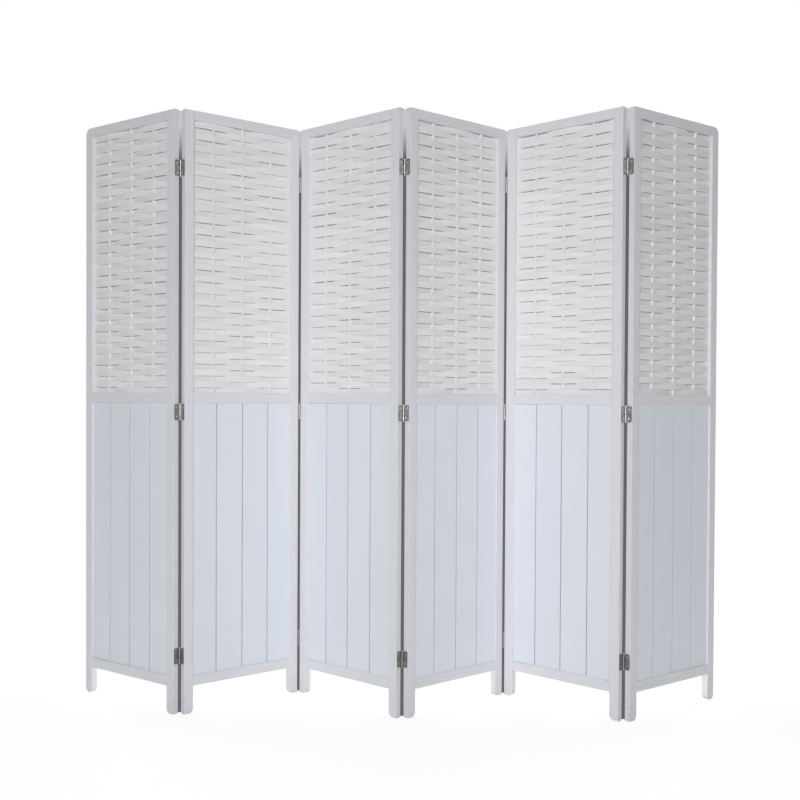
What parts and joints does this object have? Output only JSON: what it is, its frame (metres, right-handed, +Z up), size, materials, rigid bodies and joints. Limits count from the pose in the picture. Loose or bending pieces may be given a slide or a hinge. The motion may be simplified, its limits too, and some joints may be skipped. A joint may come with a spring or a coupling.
{
  "type": "folding room screen",
  "caption": "Free-standing zigzag room screen: hinged white wooden panels on short feet, each with a woven strip upper field and a grooved board lower field.",
  "frame": {"origin": "on the floor, under the middle of the box round the standing screen", "axes": "+X along the row of panels from the first to the last, +Y from the front to the back, +Z up"},
  "size_m": [1.946, 0.2858, 1.75],
  "materials": {
    "frame_paint": "satin white paint on wood",
    "strip_paint": "matt white paint on thin wood strips",
    "hinge_plate": "dull nickel plate"
  },
  "bodies": {
    "panel_1": {"panel_1_left_post": "frame_paint", "panel_1_right_post": "frame_paint", "panel_1_top_rail": "frame_paint", "panel_1_boarded_base": "frame_paint", "panel_1_woven_infill": "strip_paint", "joint_1_2_bottom_hinge_pin_leaf": "hinge_plate", "joint_1_2_middle_hinge_pin_leaf": "hinge_plate", "joint_1_2_top_hinge_pin_leaf": "hinge_plate"},
    "panel_2": {"panel_2_left_post": "frame_paint", "panel_2_right_post": "frame_paint", "panel_2_top_rail": "frame_paint", "panel_2_boarded_base": "frame_paint", "panel_2_woven_infill": "strip_paint", "joint_1_2_bottom_hinge_sleeve_leaf": "hinge_plate", "joint_1_2_middle_hinge_sleeve_leaf": "hinge_plate", "joint_1_2_top_hinge_sleeve_leaf": "hinge_plate", "joint_2_3_bottom_hinge_pin_leaf": "hinge_plate", "joint_2_3_middle_hinge_pin_leaf": "hinge_plate", "joint_2_3_top_hinge_pin_leaf": "hinge_plate"},
    "panel_3": {"panel_3_left_post": "frame_paint", "panel_3_right_post": "frame_paint", "panel_3_top_rail": "frame_paint", "panel_3_boarded_base": "frame_paint", "panel_3_woven_infill": "strip_paint", "joint_2_3_bottom_hinge_sleeve_leaf": "hinge_plate", "joint_2_3_middle_hinge_sleeve_leaf": "hinge_plate", "joint_2_3_top_hinge_sleeve_leaf": "hinge_plate", "joint_3_4_bottom_hinge_pin_leaf": "hinge_plate", "joint_3_4_middle_hinge_pin_leaf": "hinge_plate", "joint_3_4_top_hinge_pin_leaf": "hinge_plate"},
    "panel_4": {"panel_4_left_post": "frame_paint", "panel_4_right_post": "frame_paint", "panel_4_top_rail": "frame_paint", "panel_4_boarded_base": "frame_paint", "panel_4_woven_infill": "strip_paint", "joint_3_4_bottom_hinge_sleeve_leaf": "hinge_plate", "joint_3_4_middle_hinge_sleeve_leaf": "hinge_plate", "joint_3_4_top_hinge_sleeve_leaf": "hinge_plate", "joint_4_5_bottom_hinge_pin_leaf": "hinge_plate", "joint_4_5_middle_hinge_pin_leaf": "hinge_plate", "joint_4_5_top_hinge_pin_leaf": "hinge_plate"},
    "panel_5": {"panel_5_left_post": "frame_paint", "panel_5_right_post": "frame_paint", "panel_5_top_rail": "frame_paint", "panel_5_boarded_base": "frame_paint", "panel_5_woven_infill": "strip_paint", "joint_4_5_bottom_hinge_sleeve_leaf": "hinge_plate", "joint_4_5_middle_hinge_sleeve_leaf": "hinge_plate", "joint_4_5_top_hinge_sleeve_leaf": "hinge_plate", "joint_5_6_bottom_hinge_pin_leaf": "hinge_plate", "joint_5_6_middle_hinge_pin_leaf": "hinge_plate", "joint_5_6_top_hinge_pin_leaf": "hinge_plate"},
    "panel_6": {"panel_6_left_post": "frame_paint", "panel_6_right_post": "frame_paint", "panel_6_top_rail": "frame_paint", "panel_6_boarded_base": "frame_paint", "panel_6_woven_infill": "strip_paint", "joint_5_6_bottom_hinge_sleeve_leaf": "hinge_plate", "joint_5_6_middle_hinge_sleeve_leaf": "hinge_plate", "joint_5_6_top_hinge_sleeve_leaf": "hinge_plate"}
  },
  "joints": [
    {"name": "fold_1_2", "type": "hinge", "parent": "panel_1", "child": "panel_2", "pos_m": [-0.63591, -0.11412, 0.875], "axis": [0, 0, 1], "range_deg": [-76, 104]},
    {"name": "fold_2_3", "type": "hinge", "parent": "panel_2", "child": "panel_3", "pos_m": [-0.3086, 0.12811, 0.875], "axis": [0, 0, -1], "range_deg": [-81, 99]},
    {"name": "fold_3_4", "type": "hinge", "parent": "panel_3", "child": "panel_4", "pos_m": [0.01095, -0.12428, 0.875], "axis": [0, 0, 1], "range_deg": [-83, 97]},
    {"name": "fold_4_5", "type": "hinge", "parent": "panel_4", "child": "panel_5", "pos_m": [0.32961, 0.12922, 0.875], "axis": [0, 0, -1], "range_deg": [-84, 96]},
    {"name": "fold_5_6", "type": "hinge", "parent": "panel_5", "child": "panel_6", "pos_m": [0.6447, -0.1287, 0.875], "axis": [0, 0, 1], "range_deg": [-81, 99]}
  ]
}
